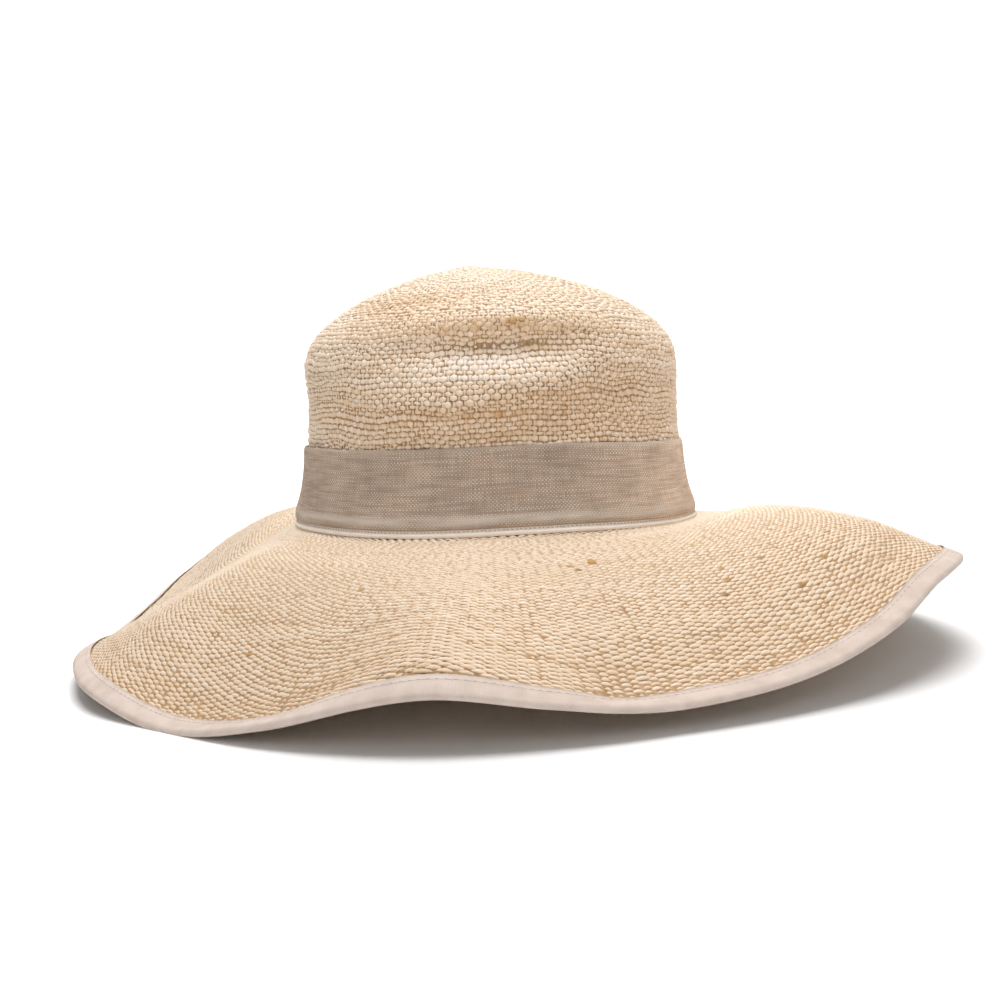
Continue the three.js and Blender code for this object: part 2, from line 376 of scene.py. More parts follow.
# Brim straw
# The strands that run round the brim pass over one radial strand and under the next, so each shows as short
# lens-shaped pieces, called floats here, a half step apart in neighbouring columns. They are short by the
# crown and long by the edge.
WARPS = 320
FLOAT_STEP = 2.0  # between the floats on one radial strand
FLOAT_OVERLAP = 1.95  # a float's length over the gap between radial strands
FLOAT_WIDTH = 2.25
FLOAT_HEIGHT = 0.47
FLOAT_RISE = 0.12
FLOAT_DIP = 0.52
SEAM_RISE = 0.6  # how far the strands bulge up against the cord, within a reach
SEAM_REACH = 3
FLOAT_TWIST = 0.07  # radians, as the strands are spun
TWIST_JITTER = 0.04
# Each pair here is a value by the crown, and what is added to it on the way to the brim's edge
# The fall in the floats' tone towards the edge is painted shade, where the brim faces the light less
FLOAT_TONE = (0.72, -0.19)
FLOAT_SHADING = (0.12, 0.34)
HEIGHT_SHARE = (0.72, 0.4)
RISE_JITTER = (0.02, 0.05)
LENGTH_SHARE = (0.94, 0.12)  # the least, and what chance adds
# How much slow changes along a strand, and chance, add to a float's size and tone
THICKNESS_DRIFT = 0.07
THICKNESS_JITTER = 0.05
TONE_DRIFT = 0.06
TONE_JITTER = 0.04
COLUMN_JITTER = 0.035  # of the gap between radial strands
ROW_JITTER = 0.06
# How far a row's floats slip along it, in gaps: everywhere, more by the crown, and how far out that goes
SLIP = 0.05
CROWN_SLIP = 0.4
SLIP_REACH = 0.22
STRAW_TONES = (
    # place on the scale of tones, colour
    (0.0, (0.34, 0.18, 0.06)),
    (0.12, (0.58, 0.33, 0.1)),
    (0.28, (0.72, 0.5, 0.3)),
    (0.5, (0.84, 0.64, 0.45)),
    (0.8, (0.89, 0.74, 0.585)),
    (1.0, (0.935, 0.825, 0.725)),
)
# The colour of the painted shade at the strands' feet and ends, where they pass under their neighbours
STRAW_GAP_SHADE = (0.36, 0.2, 0.085)


def drift(rows, columns, reach):
    """Random numbers, mostly from -1 to 1, that change slowly along each row and join at its ends."""
    noise = np.fft.rfft(chance.standard_normal((rows, columns)), axis=1)
    waves = np.arange(noise.shape[1]) / columns
    slow = np.fft.irfft(noise * np.exp(-0.5 * (2 * math.pi * waves * reach) ** 2), n=columns, axis=1)
    return slow / slow.std()


TOP_NARROWS = 0.4  # how much narrower a strand's top is than its foot
TIP_GIRTH = 0.01
SMALL = 1e-6
END_SHADE = 0.35  # how dark a strand's ends are, against its foot
STREAK_SPREAD = 100  # each strand takes its streaks from another place
FOOT_ANGLE = math.radians(90)  # a flat strand's foot is the only edge sharper than this


def spindle(sides, rings, fullness):
    """One strand's visible piece, from -1 to 1 along X, with a round top and a flat side down. Returns its
    points and triangles. Fullness is 0 for pointed ends, and 0.5 for round ones."""
    shape = bmesh.new()
    corner_turn = Matrix.Rotation(math.radians(0 if sides % 2 else 180 / sides), 4, "Z")
    upright = Matrix.Rotation(math.radians(-90), 4, "Y") @ corner_turn
    bmesh.ops.create_uvsphere(shape, u_segments=sides, v_segments=rings + 1, radius=1, matrix=upright)
    bmesh.ops.triangulate(shape, faces=shape.faces)
    points = np.array([vertex.co for vertex in shape.verts])
    triangles = np.array([[vertex.index for vertex in face.verts] for face in shape.faces])
    shape.free()
    girth = np.sqrt(np.clip(1 - points[:, 0] ** 2, SMALL, 1))
    across = points[:, 1] / girth
    rise = points[:, 2] / girth
    tips = girth < TIP_GIRTH
    across[tips] = 0
    rise[tips] = 0
    rise[~tips] = (rise[~tips] - rise.min()) / (rise.max() - rise.min())
    across = across / across.max() * (1 - TOP_NARROWS * rise)
    slender = girth ** (2 - 2 * fullness)
    return np.stack([points[:, 0], across * slender, rise * slender], axis=1), triangles, rise


def strands(name, shape, lie, length, width, height, dip, tone, slant=0.0, shading=1.0, sharp_feet=False):
    """One mesh of many strands, each where lie says, with its own length, width, height, tone and painted
    shade at its foot and ends. Their ends dip, and slant turns them off the way round. Sharp feet keep a flat
    strand's light from running on under it."""
    points, triangles, rise = shape
    centre, around_it, outwards, off = lie
    count = len(centre)
    tilt = np.broadcast_to(slant, count)[:, None]
    along = around_it * np.cos(tilt) + outwards * np.sin(tilt)
    across = np.cross(off, along)
    length, width, height = (np.broadcast_to(size, count)[:, None] for size in (length, width, height))
    x = points[None, :, 0] * length / 2
    y = points[None, :, 1] * width / 2
    z = points[None, :, 2] * height - dip * points[None, :, 0] ** 2
    placed = centre[:, None] + x[..., None] * along[:, None] + y[..., None] * across[:, None]
    placed += z[..., None] * off[:, None]
    faces = triangles[None] + (np.arange(count) * len(points))[:, None, None]
    mesh = bpy.data.meshes.new(name)
    mesh.from_pydata(in_frame(placed.reshape(-1, 3)), [], faces.reshape(-1, 3).tolist())
    mesh.shade_smooth()
    if sharp_feet:
        mesh.set_sharp_from_angle(angle=FOOT_ANGLE)
    # Painted shade, kept as "depth": lower towards a strand's foot and its ends
    foot_shade = 1 - rise + END_SHADE * points[:, 0] ** 2
    depth = 1 - np.outer(np.broadcast_to(shading, count), foot_shade).ravel()
    for value_name, numbers in (("tone", np.repeat(tone, len(points))), ("depth", depth)):
        layer = mesh.attributes.new(value_name, "FLOAT", "POINT")
        layer.data.foreach_set("value", numbers.astype(np.float32))
    start = chance.random((count, 1, 2)) * STREAK_SPREAD
    places = np.stack([x, y + np.zeros_like(x)], axis=-1) + start
    corners = places.reshape(-1, 2)[faces.ravel()]
    mesh.uv_layers.new(name="strand").uv.foreach_set("vector", corners.astype(np.float32).ravel())
    return put_in(name, mesh)


straw, tree, shader = new_material("straw", roughness=0.6, specular=0.45)
shader.inputs["Sheen Weight"].default_value = 0.12
shader.inputs["Sheen Roughness"].default_value = 0.4
tones = add(tree, "ShaderNodeValToRGB", Fac=attribute(tree, "tone"))
ramp = tones.color_ramp
for place, colour in STRAW_TONES[1:-1]:
    ramp.elements.new(place).color = opaque(colour)
ramp.elements[0].color = opaque(STRAW_TONES[0][1])
ramp.elements[-1].color = opaque(STRAW_TONES[-1][1])
streaks = fibre_streaks(tree, uv_map(tree, "strand"), length=3.0, width=0.22)
coloured = darkened(tree, tones.outputs[0], ranged(tree, streaks, (0.3, 0.7), (0.86, 1.06)))
# Painted shade: low "depth" mixes the straw towards a dark brown
hollow_shade = ranged(tree, attribute(tree, "depth"), (-0.1, 0.62), (0.66, 0.0))
shade = mixed(tree, hollow_shade, coloured, opaque(STRAW_GAP_SHADE))
tree.links.new(shade, shader.inputs["Base Color"])
relief(tree, shader, streaks, strength=0.35, depth=0.08)


def growing(pair, out):
    return pair[0] + pair[1] * out


def brim_floats(first, last):
    """The floats of the brim's rows from first to last: angles, places, gaps between radial strands,
    thickness, how far the slope spreads the rows, and tone."""
    row, column = (grid.ravel() for grid in np.mgrid[first:last, 0:WARPS])
    weft = 2 * row + column % 2
    even_out = weft / 2 * FLOAT_STEP
    slip = (SLIP + CROWN_SLIP * np.exp(-even_out / BRIM_WIDTH / SLIP_REACH)) * row_slip[weft, column]
    angle = (column + slip + jitter(COLUMN_JITTER, row.size)) * TURN / WARPS
    out = (even_out + weft_sway[weft, column] + jitter(ROW_JITTER, row.size)) / BRIM_WIDTH
    radius = RIM_RADIUS + (fold("reach", angle) - RIM_RADIUS) * out
    gap = radius * math.radians(TURN / WARPS)
    thickness = 1 + THICKNESS_DRIFT * weft_thickness[weft, column] + jitter(THICKNESS_JITTER, row.size)
    tone = growing(FLOAT_TONE, out) + TONE_DRIFT * weft_tone[weft, column] + jitter(TONE_JITTER, row.size)
    rise_and_run = brim_surface(angle, out + OUT_STEP) - brim_surface(angle, out - OUT_STEP)
    stretch = np.linalg.norm(rise_and_run, axis=1) / (2 * OUT_STEP * BRIM_WIDTH)
    return angle, out, gap, thickness, stretch, tone


# Knots and dark pieces of straw, by angle and place: how thick each stands, and its tone
BRIM_KNOTS = (
    (285.9, 0.325, 3.0, 0.1),
    (284.2, 0.36, 0.8, 0.0),
    (283, 0.335, 0.7, 0.04),
    (282.5, 0.34, 0.7, 0.08),
    (303, 0.61, 0.8, 0.0),
    (304.5, 0.56, 0.7, 0.1),
    (305, 0.5, 0.7, 0.14),
    (311.5, 0.54, 0.6, 0.1),
    (313.5, 0.71, 0.9, 0.02),
    (319.5, 0.68, 0.6, 0.1),
    (247, 0.42, 0.6, 0.1),
    (232, 0.66, 0.6, 0.12),
    (60, 0.4, 1.3, 0.12),
    (121, 0.7, 0.8, 0.05),
    (166, 0.35, 0.7, 0.1),
)
KNOT_REACH = 4


def turned_from(angle, centre):
    """How far angles are from another one, from -180 to 180 degrees."""
    return (angle - centre + TURN / 2) % TURN - TURN / 2


def nearest_knot(angle, out):
    """For each strand, the thickness and tone of a knot there, or 1 and -1 for none."""
    swell, dark = np.ones_like(angle), -np.ones_like(angle)
    for knot_angle, knot_out, knot_swell, knot_tone in BRIM_KNOTS:
        away = turned_from(angle, knot_angle) ** 2 + (TURN * (out - knot_out)) ** 2
        spot = np.argmin(away)
        if away[spot] < KNOT_REACH**2:
            swell[spot] = knot_swell
            dark[spot] = knot_tone
    return swell, dark


MIDDLE_ROW = 28
LAST_ROW = 56
wefts = 2 * LAST_ROW + 2
WEFT_SWAY = 0.22 / 3  # that each row adds to how the rows wander
weft_sway = WEFT_SWAY * np.cumsum(drift(wefts, WARPS, 12), axis=0)
row_slip = drift(wefts, WARPS, 4)
weft_thickness = drift(wefts, WARPS, 5)
weft_tone = drift(wefts, WARPS, 7)

BRIM_ZONES = (
    # name, first row, last row, a strand's shape
    ("brim_straw_inner", 0, MIDDLE_ROW, spindle(3, 3, 0.36)),
    ("brim_straw_outer", MIDDLE_ROW, LAST_ROW, spindle(3, 3, 0.36)),
)
for name, first, last, shape in BRIM_ZONES:
    angle, out, gap, thickness, stretch, tone = brim_floats(first, last)
    centre, around_it, outwards, off = lie_of(brim_surface, angle, out, OUT_STEP)
    swell, dark = nearest_knot(angle, out)
    thickness = thickness * swell
    tone = np.where(dark < 0, tone, dark)
    rise = FLOAT_RISE + jitter(growing(RISE_JITTER, out), angle.size)
    rise = rise + SEAM_RISE * np.exp(-((out * BRIM_WIDTH / SEAM_REACH) ** 2))
    piece = strands(
        name,
        shape,
        (centre + off * rise[:, None], around_it, outwards, off),
        gap * FLOAT_OVERLAP * growing(LENGTH_SHARE, chance.random(angle.size)),
        FLOAT_WIDTH * thickness * stretch,
        FLOAT_HEIGHT * thickness * growing(HEIGHT_SHARE, out),
        FLOAT_DIP,
        tone,
        FLOAT_TWIST + jitter(TWIST_JITTER, angle.size),
        growing(FLOAT_SHADING, out),
        sharp_feet=True,
    )
    piece.data.materials.append(straw)
    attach(piece, "root")

# Brim straw underneath
# The same paper strands seen from below, where they pass under the radial ones. Their shapes are plainer, and
# plainest by the crown.
UNDER_ROW = 14
UNDER_ZONES = (
    ("brim_straw_under_inner", 0, UNDER_ROW, spindle(3, 1, 0.4)),
    ("brim_straw_under", UNDER_ROW, LAST_ROW, spindle(3, 2, 0.3)),
)
for name, first, last, shape in UNDER_ZONES:
    angle, out, gap, thickness, stretch, tone = brim_floats(first, last)
    angle += TURN / WARPS
    centre, around_it, outwards, off = lie_of(brim_surface, angle, out, OUT_STEP)
    piece = strands(
        name,
        shape,
        (centre - off * FLOAT_RISE, around_it, -outwards, -off),
        gap * FLOAT_OVERLAP,
        FLOAT_WIDTH * thickness * stretch,
        FLOAT_HEIGHT * thickness,
        FLOAT_DIP,
        tone,
    )
    piece.data.materials.append(straw)
    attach(piece, "root")

# Crown ground
# The crown is a dome of the same straw, woven from its tip outwards. A push of the hand left a wide dent
# high on its front. This is the wall between its two faces.
LEVEL_BAND = 60
SOFT_RADIUS = 60
CROWN_SECTIONS = table(
    ("height", "radius", "shift"),
    (0, 94.9, 0),
    (10, 93.1, 0),
    (20, 91.2, 0.2),
    (38, 89, 0.8),
    (60, 88.5, 1.3),
    (75, 89.2, 1.2),
    (84, 87, 1.5),
    (91, 82, 1.5),
    (97, 75, 1.5),
    (103.5, 64.5, 1),
    (109.5, 51.5, 0),
    (113.5, 40, -1),
    (117, 27, -3),
    (119.5, 14, -5),
    (121, 6, -7),
    (122, 0, -8),
)
# One row for each soft dent, or ridge where the depth is negative. Their widths are in degrees
CROWN_DENTS = table(
    ("angle", "height", "wide", "tall", "depth"),
    (275, 106, 38, 12, 4),
    (275, 93, 34, 7, -2.5),
    (274, 80, 31, 8.5, 9.5),
    (254, 57, 24, 9.5, -4.6),
    (284, 64, 14, 9, -3.4),
    (305, 78, 10, 8, -2),
    (307, 62, 14, 9, 3.6),
)
CROWN_TOP = CROWN_SECTIONS["height"][-1]
HALF_WALL = 0.6
DROP_STEP = 0.4  # to find which way the crown's side runs
PROFILE_POINTS = 4000
FOOT_FLARE = 0.2
PAST_FOOT = 0.4  # how far the ground runs on below the join
CROWN_MIDDLE_RADIUS = 90


def section(column, height):
    return curve_through(CROWN_SECTIONS["height"], CROWN_SECTIONS[column], height)


profile_heights = np.linspace(CROWN_TOP, 0, PROFILE_POINTS)
profile_radii = np.maximum(section("radius", profile_heights), 0)
profile_steps = np.hypot(np.diff(profile_heights), np.diff(profile_radii))
profile_drops = np.concatenate([[0], np.cumsum(profile_steps)])
FOOT_DROP = profile_drops[-1]


def drop_to(height):
    """The way down the crown's side from its tip to a height over the join."""
    return np.interp(-height, -profile_heights, profile_drops)


def crown_outside(angle, drop):
    """Points on the crown's outer side, by the way down from its tip. Past its foot the wall goes on down."""
    height = np.interp(drop, profile_drops, profile_heights)
    radius = np.maximum(section("radius", height), 0)
    for dent in CROWN_DENTS:
        aside = turned_from(angle, dent["angle"]) / dent["wide"]
        above = (height - dent["height"]) / dent["tall"]
        radius = radius - dent["depth"] * np.exp(-(aside**2) - above**2) * np.minimum(1, radius / SOFT_RADIUS)
    climb = np.maximum(0, (height - LEVEL_BAND) / (CROWN_TOP - LEVEL_BAND))
    level = SEAT_HEIGHT + height + fold("root", angle) * (1 - climb**2)
    beyond = np.maximum(drop - FOOT_DROP, 0)
    return around(angle, radius + beyond * FOOT_FLARE, level - beyond, section("shift", height))


def off_crown(angle, drop, out):
    """Points at a distance outwards from the crown's outer side."""
    centre, _, _, off = lie_of(crown_outside, angle, drop, DROP_STEP)
    return centre + off * np.broadcast_to(out, len(centre))[:, None]


def crown_ground_place(angle, share):
    return off_crown(angle, share * (FOOT_DROP + PAST_FOOT), -HALF_WALL)


crown_round = 2 * math.pi * CROWN_MIDDLE_RADIUS
crown_ground = bent_sheet("crown_ground", 120, 48, crown_ground_place, crown_round, FOOT_DROP)
thicken(crown_ground, GROUND_THICKNESS)
crown_ground.data.materials.append(ground)
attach(crown_ground, "root")
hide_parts("crown")

# Crown straw
# Here the weave is even: at each crossing either the strand that runs round or the upright one is on top, as
# a bead. Nearer the tip there are fewer upright strands, so that the beads keep their size.
CROWN_STEP = 2.1  # between strands that run round
NARROWEST_GAP = 1.95  # between upright strands, before some end
WARP_COUNTS = (252, 168, 112, 74, 50, 34, 22, 14, 8)
BEAD_HEIGHT = 0.92
BEAD_RISE = -0.5  # a bead's foot under the crown's outer side
BEAD_DIP = 0.3
BAND_HIDES = 34
# Each pair here is a value at the tip, and what is added to it on the way down to the brim
# The fall in the beads' tone down the crown is painted shade
BEAD_TONE = (0.73, -0.1)
BEAD_SHADING = (0.15, 0.52)
BEAD_GROWTH = (0.2, 0.92)
# A bead's length and width, in gaps or steps, and its height as a share of BEAD_HEIGHT
BEAD_ROUND = (1.72, 1.2, 1)
BEAD_UPRIGHT = (1.5, 1.15, 0.95)
BEAD_LENGTH_SHARE = (0.92, 0.16)  # the least, and what chance adds
MOST_STRETCH = 1.6
# How much slow changes along a row, and chance, add to a bead's place, size and tone
BEAD_DRIFT = (0.15, 0.12)  # of its thickness, over a short and a long way
BEAD_TONE_DRIFT = 0.06
ASIDE_JITTER = 0.07  # of the gap
DROP_JITTER = 0.1
LIFT_JITTER = 0.07
BEAD_JITTER = 0.12  # of its thickness
BEAD_TONE_JITTER = 0.06
BEAD_TURN_JITTER = 0.1  # radians
LEAST_DROP = 0.4
DRIFT_PLACES = 240
SWAY_KEPT = 0.88  # of a row's wandering, by the row under it
# Patches of painted light and shade: a painted highlight on the ridge under the dent, and painted shade in
# the dent's fold, high on the left, low on the front and on the right. Their widths are in degrees
CROWN_PAINTED_LIGHT_AND_SHADE = table(
    ("angle", "height", "wide", "tall", "paler"),
    (270, 73, 27, 6.5, 0.3),
    (271, 88.5, 33, 6, -0.32),
    (238, 101, 22, 12, -0.3),
    (272, 50, 45, 14, -0.17),
    (312, 60, 22, 26, -0.1),
)


def crown_beads(last_drop, upright):
    """Every crossing from the tip down to a distance from it where an upright strand is on top, or else the
    one that runs round: their angles, drops, gaps and rows."""
    found = []
    for row in range(int(last_drop / CROWN_STEP)):
        drop = (row + 0.5) * CROWN_STEP
        radius = np.interp(drop, profile_drops, profile_radii)
        fitting = [count for count in WARP_COUNTS if radius * 2 * math.pi / count >= NARROWEST_GAP]
        count = fitting[0] if fitting else WARP_COUNTS[-1]
        gap = radius * 2 * math.pi / count
        column = np.arange(count)
        column = column[(column + row) % 2 == upright]
        found.append(np.stack([column * TURN / count, *np.full((3, column.size), [[drop], [gap], [row]])]))
    return np.concatenate(found, axis=1)


def crown_straw(name, shape, last_drop, outside, upright):
    angle, drop, gap, row = crown_beads(last_drop, upright)
    count = angle.size
    place = (row.astype(int), (angle / TURN * DRIFT_PLACES).astype(int))
    nearness = np.degrees(gap / np.maximum(gap, drop))
    angle = angle + jitter(ASIDE_JITTER, count) * nearness
    drop = np.maximum(drop + crown_sway[place] + jitter(DROP_JITTER, count), LEAST_DROP)
    centre, around_it, outwards, off = lie_of(crown_outside, angle, drop, DROP_STEP)
    rise = BEAD_RISE + jitter(LIFT_JITTER, count)
    if outside:
        centre = centre + off * rise[:, None]
    else:
        centre = centre - off * (rise + 2 * HALF_WALL)[:, None]
        outwards, off = -outwards, -off
    thickness = 1 + crown_thickness[place] + jitter(BEAD_JITTER, count)
    stretch = np.linalg.norm(crown_outside(angle, drop + 0.5) - crown_outside(angle, drop - 0.5), axis=1)
    step = CROWN_STEP * np.clip(stretch, 1, MOST_STRETCH)
    down = drop / FOOT_DROP
    tone = growing(BEAD_TONE, down) + BEAD_TONE_DRIFT * crown_tone[place] + jitter(BEAD_TONE_JITTER, count)
    # Painted highlight and shade, by place on the crown
    for painted_patch in CROWN_PAINTED_LIGHT_AND_SHADE:
        aside = (angle - painted_patch["angle"]) / painted_patch["wide"]
        above = (drop - drop_to(painted_patch["height"])) / painted_patch["tall"]
        tone = tone + painted_patch["paler"] * np.exp(-(aside**2) - above**2)
    long, wide, high = BEAD_UPRIGHT if upright else BEAD_ROUND
    lengthwise, crosswise = (step, gap) if upright else (gap, step)
    piece = strands(
        name,
        shape,
        (centre, around_it, outwards, off),
        lengthwise * long * growing(BEAD_LENGTH_SHARE, chance.random(count)),
        crosswise * wide * thickness,
        BEAD_HEIGHT * high * thickness * growing(BEAD_GROWTH, down),
        BEAD_DIP,
        tone,
        (math.pi / 2 if upright else 0) + jitter(BEAD_TURN_JITTER, count),
        growing(BEAD_SHADING, down),
    )
    piece.data.materials.append(straw)
    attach(piece, "root")


crown_rows = int(FOOT_DROP / CROWN_STEP) + 2
crown_thickness = BEAD_DRIFT[0] * drift(crown_rows, DRIFT_PLACES, 2)
crown_thickness += BEAD_DRIFT[1] * drift(crown_rows, DRIFT_PLACES, 12)
crown_tone = drift(crown_rows, DRIFT_PLACES, 6)
crown_sway = np.zeros_like(crown_thickness)
for row in range(1, crown_rows):
    added = CROWN_STEP * (crown_thickness[row - 1] + crown_thickness[row]) / 2
    crown_sway[row] = SWAY_KEPT * crown_sway[row - 1] + added
bead = spindle(4, 3, 0.46)
plain_bead = spindle(3, 2, 0.35)
small_bead = spindle(3, 1, 0.4)
crown_straw("crown_straw", bead, drop_to(BAND_HIDES), outside=True, upright=False)
crown_straw("crown_straw_upright", plain_bead, drop_to(BAND_HIDES), outside=True, upright=True)
crown_straw("crown_straw_inside", small_bead, FOOT_DROP, outside=False, upright=False)
crown_straw("crown_straw_inside_upright", small_bead, FOOT_DROP, outside=False, upright=True)

# Linen band
# A strip of coarse linen, ecru across grey-brown, folded over at its top edge and drawn tight round the foot
# of the crown. It is a sheet of cloth, 38 mm tall as it is sewn and as long as the crown is round.
BAND_HEIGHT = 38
BAND_COLUMNS = ("out", "height")
# The band's cross section, off the crown's outer side and over the join
BAND_OUTLINE = table(
    BAND_COLUMNS,
    (1.5, 3.4),
    (2.35, 3.25),
    (2.95, 5.2),
    (2.85, 8.3),
    (2.1, 14),
    (1.85, 24),
    (1.95, 33),
    (1.95, 35.5),
    (1.75, 37),
    (1.25, 38),
    (0.6, 38),
    (0.3, 37),
    (0.35, 35),
    (0.5, 24),
    (0.6, 14),
    (1.6, 8.5),
)
BAND_LENGTH = 570
BAND_WAVE = 0.16  # how far the cloth stands off unevenly at its top
TOP_WAVE = 0.6  # of those waves, up and down
LOOSE_ANGLE = 196  # on its left the band's top stands off further
LOOSE_REACH = 16
LOOSE_OUT = 1.1
LINEN_ECRU = (0.72, 0.575, 0.46)
LINEN_BROWN = (0.37, 0.265, 0.19)
PAINTED_LIGHT_PLACE = 440  # along the band, on the hat's right, where painted light makes it palest
PAINTED_LIGHT_REACH = (55, 115)  # how far from there it starts to fade out, and ends
SWELL_LINE = 4.4  # up from the lower edge, where the cloth swells over the cord's flange and has a painted highlight
# The colour of both painted highlights on the band
LINEN_HIGHLIGHT = (0.66, 0.58, 0.5)
FOLD_LINE = 35.6  # up from the lower edge, where a painted highlight lies along the fold's front


def outline(points, share):
    """Points on a smooth closed line through an outline's points, and its whole length."""
    first, second = (points[column] for column in points.dtype.names)
    ends = np.stack([first, second], axis=-1)
    steps = np.linalg.norm(np.roll(ends, -1, axis=0) - ends, axis=1)
    places = np.concatenate([[0], np.cumsum(steps[:-1])])
    length = steps.sum()
    at = share * length
    return curve_through(places, first, at, length), curve_through(places, second, at, length), length


FOOT_SLOPE = BAND_HEIGHT / (FOOT_DROP - drop_to(BAND_HEIGHT))


def beside_crown(angle, out, height):
    """Points off the crown's outer side, by distance outwards and height over the join."""
    return off_crown(angle, FOOT_DROP - height / FOOT_SLOPE, out)


band_waves = BAND_WAVE * drift(2, 480, 9)


def read_round(waves, angle):
    """Each row of values that run round the hat, read at those angles."""
    spot = (angle / TURN * waves.shape[1]).astype(int) % waves.shape[1]
    return waves[:, spot]


def band_place(angle, share):
    out, height, _ = outline(BAND_OUTLINE, share)
    wave_out, wave_up = read_round(band_waves, angle)
    high = np.clip(height / BAND_HEIGHT, 0, 1)
    loose = LOOSE_OUT * np.exp(-((turned_from(angle, LOOSE_ANGLE) / LOOSE_REACH) ** 2)) * high**6
    return beside_crown(angle, out + wave_out * high + loose, height + TOP_WAVE * wave_up * high**2)


def blended(tree, share, first, second):
    return add(tree, "ShaderNodeMix", _0=share, _2=first, _3=second).outputs[0]


# A plain weave: threads in both directions, each over one and under the next, with uneven thickness
WEAVE_OUTPUTS = ["Height", "Upright On Top", "Slub"]
ROW_SLUBS = (0.045, 0.61)  # how fast a slub changes along a thread, and from one thread to the next
COLUMN_SLUBS = (5.1, 0.09)
COLUMN_SEED = 3.0
COLUMN_CALM = 0.55
weave, weave_in, weave_out = new_group("plain_weave", ["Across", "Up"], WEAVE_OUTPUTS)
parts = add(weave, "ShaderNodeSeparateXYZ", Vector=weave_in.outputs["Vector"])
across = calc(weave, "DIVIDE", parts.outputs["X"], weave_in.outputs["Across"])
upward = calc(weave, "DIVIDE", parts.outputs["Y"], weave_in.outputs["Up"])
columns = calc(weave, "FLOOR", across)
rows = calc(weave, "FLOOR", upward)
on_top = calc(weave, "MODULO", calc(weave, "ABSOLUTE", calc(weave, "ADD", columns, rows)), 2.0)
hump_across = calc(weave, "SINE", calc(weave, "MULTIPLY", calc(weave, "FRACT", across), math.pi))
hump_up = calc(weave, "SINE", calc(weave, "MULTIPLY", calc(weave, "FRACT", upward), math.pi))
along_row = calc(weave, "MULTIPLY", across, ROW_SLUBS[0])
row_slubs = noise_at(weave, along_row, calc(weave, "MULTIPLY", rows, ROW_SLUBS[1]))
up_column = calc(weave, "MULTIPLY", upward, COLUMN_SLUBS[1])
column_slubs = noise_at(weave, calc(weave, "MULTIPLY", columns, COLUMN_SLUBS[0]), up_column, COLUMN_SEED)
calm_columns = blended(weave, COLUMN_CALM, column_slubs, 0.5)
slubs = blended(weave, on_top, row_slubs, calm_columns)
both = calc(weave, "MULTIPLY", hump_across, hump_up)
edge_hump = blended(weave, on_top, hump_up, hump_across)
thread_height = calc(weave, "MULTIPLY", calc(weave, "ADD", both, edge_hump), slubs)
for output, value in zip(WEAVE_OUTPUTS, (thread_height, on_top, slubs)):
    weave.links.new(value, weave_out.inputs[output])


def threads_on(tree, cloth_map, across, up):
    return add(tree, "ShaderNodeGroup", {"node_tree": weave}, Vector=cloth_map, Across=across, Up=up).outputs


def clouds(tree, cloth_map, scale, detail):
    return add(tree, "ShaderNodeTexNoise", Vector=cloth_map, Scale=scale, Detail=detail).outputs["Fac"]


# Painted shade in the pits between threads: darker where the weave is low
def pit_shaded(tree, shade, threads, darkest):
    return darkened(tree, shade, ranged(tree, threads["Height"], (0.1, 0.7), (darkest, 1.0)))


def away_from(tree, value, line):
    return calc(tree, "ABSOLUTE", calc(tree, "SUBTRACT", value, line))


linen, tree, shader = new_material("linen", roughness=0.88, specular=0.18)
cloth_map = uv_map(tree, "cloth")
threads = threads_on(tree, cloth_map, across=0.8, up=0.8)
slub_shift = ranged(tree, threads["Slub"], (0.36, 0.64), (-0.27, 0.27))
ecru_share = calc(tree, "ADD", calc(tree, "MULTIPLY", threads["Upright On Top"], -0.5), 0.75)
ecru_share = add(tree, "ShaderNodeClamp", Value=calc(tree, "ADD", ecru_share, slub_shift)).outputs[0]
shade = mixed(tree, ecru_share, opaque(LINEN_BROWN), opaque(LINEN_ECRU))
shade = pit_shaded(tree, shade, threads, darkest=0.62)
cloudy = clouds(tree, cloth_map, scale=0.05, detail=2.0)
shade = darkened(tree, shade, ranged(tree, cloudy, (0.35, 0.65), (0.92, 1.08)))
place = add(tree, "ShaderNodeSeparateXYZ", Vector=cloth_map).outputs
# Painted light: the band is lighter on the hat's right, and a little darker elsewhere
off_painted_light = away_from(tree, place["X"], PAINTED_LIGHT_PLACE)
shade = darkened(tree, shade, ranged(tree, off_painted_light, PAINTED_LIGHT_REACH, (1.46, 0.94)))
# Painted highlight along the fold's front
fold_highlight = ranged(tree, away_from(tree, place["Y"], FOLD_LINE), (0.3, 1.3), (0.4, 0.0))
shade = mixed(tree, fold_highlight, shade, opaque(LINEN_HIGHLIGHT))
# Painted highlight on the swell over the cord's flange, uneven along the band
highlight_spots = ranged(tree, fibre_streaks(tree, cloth_map, length=22.0, width=4.0), (0.35, 0.6), (0.2, 0.75))
swell_highlight = ranged(tree, away_from(tree, place["Y"], SWELL_LINE), (0.6, 3.2), (1.0, 0.0))
shade = mixed(tree, calc(tree, "MULTIPLY", swell_highlight, highlight_spots), shade, opaque(LINEN_HIGHLIGHT))
tree.links.new(shade, shader.inputs["Base Color"])
relief(tree, shader, threads["Height"], strength=0.6, depth=0.22)

band_outline_length = outline(BAND_OUTLINE, np.zeros(1))[2]
hat_band = bent_sheet("linen_band", 300, 42, band_place, BAND_LENGTH, band_outline_length, both_ways=True)
hat_band.data.materials.append(linen)
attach(hat_band, "root")
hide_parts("hat_band")

